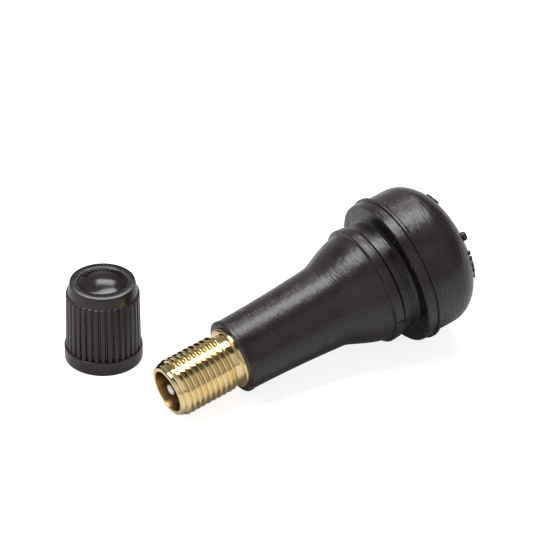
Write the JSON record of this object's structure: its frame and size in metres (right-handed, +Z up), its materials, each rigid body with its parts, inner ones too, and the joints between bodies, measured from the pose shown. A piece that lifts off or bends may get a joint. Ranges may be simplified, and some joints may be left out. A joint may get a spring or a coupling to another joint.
{
  "type": "tire valve",
  "caption": "Snap-in rubber tyre valve with a threaded brass stem and a spring-loaded screw-in core, with its ribbed plastic cap stood beside it.",
  "frame": {"origin": "on the ground, in the middle of the footprint of the valve and its cap", "axes": "+X along the stem from its mouth towards the rubber head, as seen from above, +Z up"},
  "size_m": [0.0482, 0.0309, 0.0198],
  "materials": {
    "rubber": "satin moulded rubber",
    "brass": "bright turned brass",
    "seal_sleeve": "smooth seal sleeve",
    "spring_steel": "drawn spring wire",
    "plated_pin": "nickel plate",
    "soft_seal": "soft seal rubber",
    "cap_plastic": "satin moulded plastic"
  },
  "bodies": {
    "root": {"rubber_body": "rubber", "stem_insert": "brass", "cap_shell": "cap_plastic", "cap_seal": "soft_seal"},
    "core": {"core_barrel": "brass", "barrel_seal": "seal_sleeve", "core_spring": "spring_steel"},
    "plug": {"core_plug": "brass"},
    "pin": {"core_pin": "plated_pin", "spring_retainer": "plated_pin", "pin_cup": "brass", "cup_seal": "soft_seal"}
  },
  "joints": [
    {"name": "core_travel", "type": "slide", "parent": "root", "child": "core", "axis": [-0.9842, 0, -0.1772], "range_m": [0, 0.0035]},
    {"name": "core_turn", "type": "hinge", "parent": "core", "child": "plug", "pos_m": [-0.0194, -0.00551, 0.00354], "axis": [-0.9842, 0, -0.1772], "range_deg": [0, 1786]},
    {"name": "pin_press", "type": "slide", "parent": "core", "child": "pin", "axis": [0.9842, 0, 0.1772], "range_m": [0, 0.001], "stiffness_N_per_m": 400, "springref_m": -0.00005, "deforming": ["core_spring"]}
  ],
  "couplings": [
    {"joint": "core_turn", "follows": "core_travel", "rad_per_m": 8905.3}
  ]
}
